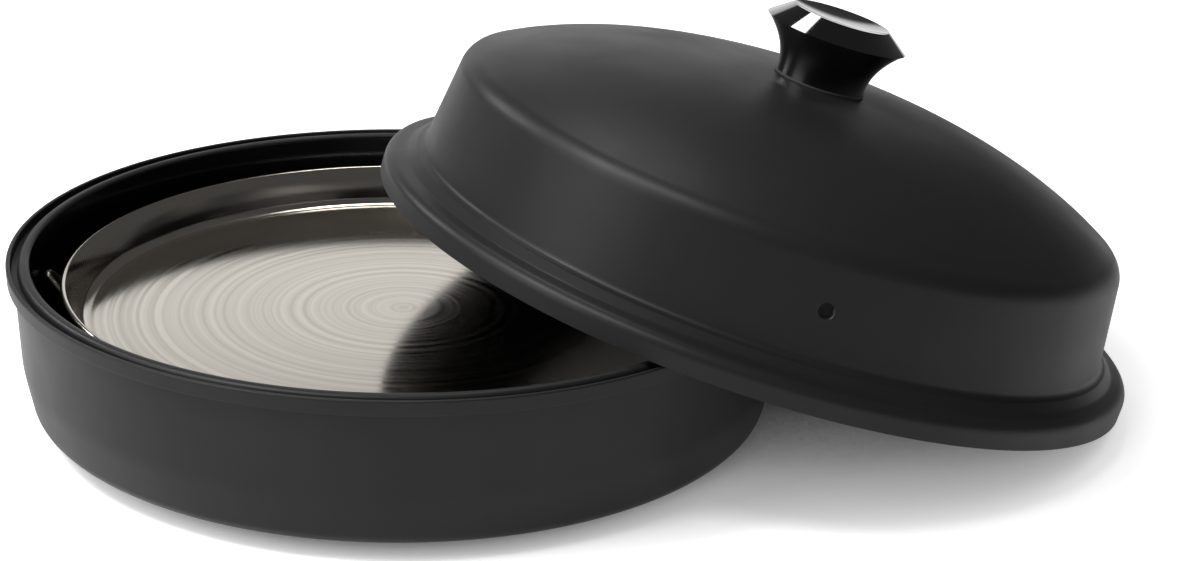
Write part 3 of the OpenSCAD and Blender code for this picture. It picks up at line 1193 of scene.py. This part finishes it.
@dataclass
class Studio:
    """Camera, lamps, pale floor, white backdrop and dim room, in metres.

    Attributes:
        right: the camera's right hand, before the roll in radians.
        surround: strength of the world's light on matte surfaces.
        room: strength of the room that mirrors see away from the backdrop.
        backdrop: the way to the backdrop's middle.
        backdrop_edge: cosines from that middle between which the backdrop fades in.
        speckle_m: size of the floor's specks.
        floor_glow: strength of the floor's glow for the camera and for mirrors.
        floor_white: strength of the further glow that only the camera sees.
        glow_reach: how far above the floor a thing closes off its open sky.
        painted_shade_sky: shares of open sky between which the glow fades in, and so on. This
        fading paints shade on the floor near and under things.
        painted_shadow_at: middle of a painted shadow, a patch under the leaning lid where the
        glow is off, which ends between painted_shadow_r.
        floor_drop: how far the floor lies low, so that nothing flickers.
    """

    eye: Triple = (-0.1562, -0.9507, 0.4220)
    forward: Triple = (0.2288, 0.9059, -0.3565)
    right: Triple = (0.9696, -0.2449, 0.0)
    roll: float = 0.034
    sensor_mm: float = 36.0
    lens_mm: float = 74.51
    clip: Pair = (0.05, 50.0)
    surround: float = 0.108
    room: float = 0.08
    backdrop: Triple = (0.104, 0.994, 0.035)
    backdrop_edge: Pair = (0.9, 0.942)
    floor_tones: tuple[str, str] = ("#f6f6f6", "#f2f2f2")
    speckle_m: float = 1 / 900
    floor_glow: float = 0.28
    floor_white: float = 0.42
    glow_reach: float = 0.25
    glow_samples: int = 24
    # Painted shade: open-sky ranges over which the floor's glow fades near and under things.
    painted_shade_sky: Pair = (0.02, 0.1)
    white_painted_shade_sky: Pair = (0.0, 0.6)
    lifted_sky: Pair = (0.5, 0.75)
    # Painted shadow: the floor's glow is off in this patch under the leaning lid.
    painted_shadow_at: Triple = (0.215, 0.045, 0.0)
    painted_shadow_r: Pair = (0.05, 0.125)
    floor_rings: tuple[float, ...] = (0.0, 0.5, 1.5, 4.0, 9.0)
    floor_steps: int = 96
    floor_drop: float = 0.0004
    lamps: list[Lamp] = field(
        default_factory=lambda: [
            Lamp("left_softbox", (-1.6, -0.35, 1.0), (0.0, 0.0, 0.08), (1.1, 1.1), 13.5),
            Lamp("upper_left_box", (-1.0, -0.1, 1.6), (0.05, 0.0, 0.08), (0.5, 0.5), 17.0),
            Lamp("upper_front_box", (-0.6, -0.6, 1.9), (0.05, 0.0, 0.08), (0.5, 0.5), 10.0),
            Lamp("back_left_box", (-1.2, 1.2, 1.1), (0.05, 0.0, 0.08), (0.5, 0.5), 9.0),
            Lamp("overhead_box", (0.2, 0.77, 1.64), (0.1, 0.0, 0.1), (0.38, 0.38), 4.5),
        ]
    )

    def camera(self) -> None:
        """Sets up the camera with its roll: right' = right cos q + up sin q."""
        ahead = Vector(self.forward).normalized()
        level = Vector(self.right).normalized()
        up = level.cross(ahead).normalized()
        across = level * math.cos(self.roll) + up * math.sin(self.roll)
        over = up * math.cos(self.roll) - level * math.sin(self.roll)
        lens = bpy.data.cameras.new("camera")
        lens.sensor_width, lens.lens, lens.sensor_fit = self.sensor_mm, self.lens_mm, "HORIZONTAL"
        lens.clip_start, lens.clip_end = self.clip
        made = new_object("camera", lens)
        turn = Matrix((across, over, -ahead)).transposed().to_4x4()
        made.matrix_world = Matrix.Translation(self.eye) @ turn
        bpy.context.scene.camera = made

    def world(self) -> None:
        """A white background and a dim room.

        Camera rays see white. Mirror and glass rays see the same white where the backdrop
        stands, behind the object, and it fades into the dim room: the strength follows the
        cosine between the ray and the middle of the backdrop.
        """
        world = bpy.data.worlds.new("studio_surround")
        tree = blank_tree(world)
        path = add_node(tree, "ShaderNodeLightPath")
        to_middle = {"operation": "DOT_PRODUCT", "in:1": tuple(Vector(self.backdrop).normalized())}
        ray = add_node(tree, "ShaderNodeTexCoord").outputs["Generated"]
        nearness = add_node(tree, "ShaderNodeVectorMath", to_middle, i0=ray).outputs["Value"]
        mirrored = ramp(tree, nearness, self.backdrop_edge, (self.room, 1.0), smooth=True)
        mirror = mirror_rays(tree, path)
        lit = add_node(tree, "ShaderNodeMix", {"in:2": self.surround}, i0=mirror, i3=mirrored)
        camera = path.outputs["Is Camera Ray"]
        seen = add_node(tree, "ShaderNodeMix", {"in:3": 1.0}, i0=camera, i2=lit.outputs[0])
        white = {"in:Color": (1, 1, 1, 1)}
        light = add_node(tree, "ShaderNodeBackground", white, Strength=seen.outputs[0])
        add_node(tree, "ShaderNodeOutputWorld", Surface=light.outputs[0])
        bpy.context.scene.world = world

    def glow(self, tree: Tree, path: Node) -> Socket:
        """Strength of the floor's glow.

        It fades where little sky is open above, the further glow sooner, which paints shade on
        the floor near and under things. Both are off in a painted shadow, a patch under the
        leaning lid, so that the lid stays dark inside, until it is lifted.

        Args:
            tree: the floor's tree.
            path: its Light Path node.

        Returns:
            The socket that carries the strength.
        """
        reach = {"samples": self.glow_samples, "in:Distance": self.glow_reach}
        sky = add_node(tree, "ShaderNodeAmbientOcclusion", reach).outputs["AO"]
        # The glow fades where little sky is open: painted shade on the floor near and under things.
        common = ramp(tree, sky, self.painted_shade_sky, (0.0, self.floor_glow))
        further = ramp(tree, sky, self.white_painted_shade_sky, (0.0, self.floor_white), smooth=True)
        both = worked_out(tree, "MULTIPLY_ADD", further, path.outputs["Is Camera Ray"], common)
        # Painted shadow: no glow in a patch under the leaning lid.
        from_painted_shadow = {"operation": "DISTANCE", "in:1": self.painted_shadow_at}
        away = add_node(tree, "ShaderNodeVectorMath", from_painted_shadow, i0=object_place(tree))
        outside_painted_shadow = ramp(tree, away.outputs["Value"], self.painted_shadow_r, smooth=True)
        # The painted shadow goes once the lid is lifted and the sky over the patch opens.
        lifted = ramp(tree, sky, self.lifted_sky, smooth=True)
        return worked_out(tree, "MULTIPLY", both, worked_out(tree, "MAXIMUM", outside_painted_shadow, lifted))

    def table_top(self) -> bpy.types.Material:
        """A matte pale finish with a glow for the camera and for mirrors.

        Returns:
            The material.
        """
        finish = bpy.data.materials.new("white_table_top")
        tree = blank_tree(finish)
        path = add_node(tree, "ShaderNodeLightPath")
        specks = {"in:Scale": 1 / self.speckle_m, "in:Detail": 2.0}
        speckle = add_node(tree, "ShaderNodeTexNoise", specks, Vector=object_place(tree))
        tone = two_tone(tree, speckle.outputs["Fac"], *self.floor_tones)
        matte = add_node(tree, "ShaderNodeBsdfDiffuse", Color=tone).outputs[0]
        glow = add_node(tree, "ShaderNodeEmission", Strength=self.glow(tree, path)).outputs[0]
        lift = add_node(tree, "ShaderNodeAddShader", i0=matte, i1=glow).outputs[0]
        mirror = mirror_rays(tree, path)
        seen = worked_out(tree, "MAXIMUM", path.outputs["Is Camera Ray"], mirror)
        mixed = add_node(tree, "ShaderNodeMixShader", i0=seen, i1=matte, i2=lift)
        add_node(tree, "ShaderNodeOutputMaterial", Surface=mixed.outputs[0])
        return finish

    def floor(self) -> None:
        """Lays the pale table top, which keeps the object's shadow."""
        r = np.array(self.floor_rings) / MM
        surface = turned(np.stack([r, np.zeros_like(r)], 1), self.floor_steps)
        mesh = bpy.data.meshes.new("table_top")
        mesh.from_pydata((surface.points * MM).tolist(), [], surface.faces[0].tolist())
        mesh.materials.append(self.table_top())
        weld(mesh)
        made = new_object("table_top", mesh)
        made.location = (0, 0, -self.floor_drop)

    def build(self) -> None:
        """Sets up the whole studio."""
        self.camera()
        for lamp in self.lamps:
            lamp.build()
        self.world()
        self.floor()
        bpy.context.scene.view_settings.view_transform = "Standard"
        log.info("studio: %d lamps", len(self.lamps))


def main() -> None:
    """Builds the studio and every sub-assembly in order."""
    logging.basicConfig(level=logging.INFO, format="%(name)s: %(message)s")
    lid = Lid()
    for part in (Studio(), Pan(), Rack(), Tray(), lid, Knob(lid)):
        part.build()
        log.info("%s done", type(part).__name__)


if __name__ == "__main__":
    main()
